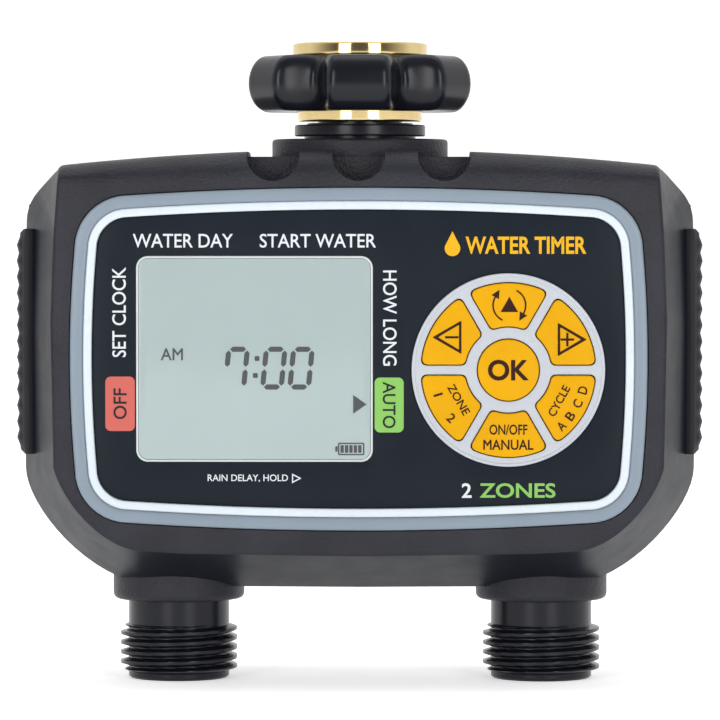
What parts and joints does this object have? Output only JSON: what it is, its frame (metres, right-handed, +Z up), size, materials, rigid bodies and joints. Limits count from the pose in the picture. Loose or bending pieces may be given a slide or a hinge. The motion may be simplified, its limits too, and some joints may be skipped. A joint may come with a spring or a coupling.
{
  "type": "hose water timer",
  "caption": "Digital garden hose water timer with a swivel inlet nut, threaded outlets, a round keypad, a display and a slide-out battery tray.",
  "frame": {"origin": "centre of the bounding box's base: on the inlet axis, in the plane of the outlet rims", "axes": "+Z up along the inlet axis, +X to the right seen from the front, the display faces -Y"},
  "size_m": [0.1566, 0.068, 0.146],
  "materials": {
    "housing": "fine moulded texture, satin",
    "grip": "soft ribbed",
    "black_plastic": "satin moulded",
    "bezel_grey": "satin",
    "bezel_light": "semi gloss",
    "panel": "satin printed film",
    "lcd_glass": "gloss",
    "keypad": "semi gloss",
    "keys": "satin silicone",
    "brass": "machined, polished",
    "rubber": "matte",
    "steel": "satin",
    "board": "solder mask",
    "nylon": "moulded",
    "copper": "enamelled winding",
    "cell": "wrapped sleeve"
  },
  "bodies": {
    "housing": {"front_cover": "housing", "rear_cover": "housing", "seal_bottom": "rubber", "seal_left": "rubber", "seal_right": "rubber", "grip_left": "grip", "grip_right": "grip", "housing_screw_1": "steel", "housing_screw_2": "steel", "housing_screw_3": "steel", "housing_screw_4": "steel", "bezel_ring": "bezel_grey", "bezel_trim": "bezel_light", "face_panel": "panel", "lcd_window": "lcd_glass", "lcd_module": "steel", "keypad_plate": "keypad", "keypad_membrane": "rubber", "circuit_board": "board", "microcontroller": "black_plastic", "inlet_collar": "housing", "inlet_neck": "black_plastic", "neck_o_ring": "rubber", "inlet_filter": "nylon", "outlet_left": "black_plastic", "outlet_collar_left": "housing", "valve_body_left": "nylon", "diaphragm_left": "rubber", "bonnet_left": "nylon", "coil_left": "copper", "plunger_spring_left": "steel", "outlet_right": "black_plastic", "outlet_collar_right": "housing", "valve_body_right": "nylon", "diaphragm_right": "rubber", "bonnet_right": "nylon", "coil_right": "copper", "plunger_spring_right": "steel", "manifold": "nylon", "battery_bay": "black_plastic"},
    "key_ok": {"key_ok": "keys"},
    "key_up": {"key_up": "keys"},
    "key_plus": {"key_plus": "keys"},
    "key_minus": {"key_minus": "keys"},
    "key_zone": {"key_zone": "keys"},
    "key_manual": {"key_manual": "keys"},
    "key_cycle": {"key_cycle": "keys"},
    "swivel": {"swivel_nut": "brass", "nut_grip": "black_plastic", "hose_washer": "rubber"},
    "plunger_left": {"plunger_left": "steel"},
    "plunger_right": {"plunger_right": "steel"},
    "tray": {"battery_tray": "black_plastic", "tray_seal": "rubber", "contact_top": "steel", "contact_bottom": "steel", "battery_1": "cell", "battery_2": "cell", "battery_3": "cell", "battery_4": "cell"}
  },
  "joints": [
    {"name": "key_ok_press", "type": "slide", "parent": "housing", "child": "key_ok", "axis": [0, 1, 0], "range_m": [0, 0.001], "stiffness_N_per_m": 800, "springref_m": -0.0005},
    {"name": "key_up_press", "type": "slide", "parent": "housing", "child": "key_up", "axis": [0, 1, 0], "range_m": [0, 0.001], "stiffness_N_per_m": 800, "springref_m": -0.0005},
    {"name": "key_plus_press", "type": "slide", "parent": "housing", "child": "key_plus", "axis": [0, 1, 0], "range_m": [0, 0.001], "stiffness_N_per_m": 800, "springref_m": -0.0005},
    {"name": "key_minus_press", "type": "slide", "parent": "housing", "child": "key_minus", "axis": [0, 1, 0], "range_m": [0, 0.001], "stiffness_N_per_m": 800, "springref_m": -0.0005},
    {"name": "key_zone_press", "type": "slide", "parent": "housing", "child": "key_zone", "axis": [0, 1, 0], "range_m": [0, 0.001], "stiffness_N_per_m": 800, "springref_m": -0.0005},
    {"name": "key_manual_press", "type": "slide", "parent": "housing", "child": "key_manual", "axis": [0, 1, 0], "range_m": [0, 0.001], "stiffness_N_per_m": 800, "springref_m": -0.0005},
    {"name": "key_cycle_press", "type": "slide", "parent": "housing", "child": "key_cycle", "axis": [0, 1, 0], "range_m": [0, 0.001], "stiffness_N_per_m": 800, "springref_m": -0.0005},
    {"name": "nut_swivel", "type": "hinge", "parent": "housing", "child": "swivel", "pos_m": [0, 0, 0.137], "axis": [0, 0, 1], "continuous": true},
    {"name": "plunger_left_lift", "type": "slide", "parent": "housing", "child": "plunger_left", "axis": [0, 0, 1], "range_m": [0, 0.002], "stiffness_N_per_m": 250, "springref_m": -0.004, "deforming": ["plunger_spring_left"]},
    {"name": "plunger_right_lift", "type": "slide", "parent": "housing", "child": "plunger_right", "axis": [0, 0, 1], "range_m": [0, 0.002], "stiffness_N_per_m": 250, "springref_m": -0.004, "deforming": ["plunger_spring_right"]},
    {"name": "tray_slide", "type": "slide", "parent": "housing", "child": "tray", "axis": [0, 1, 0], "range_m": [0, 0.045]}
  ]
}
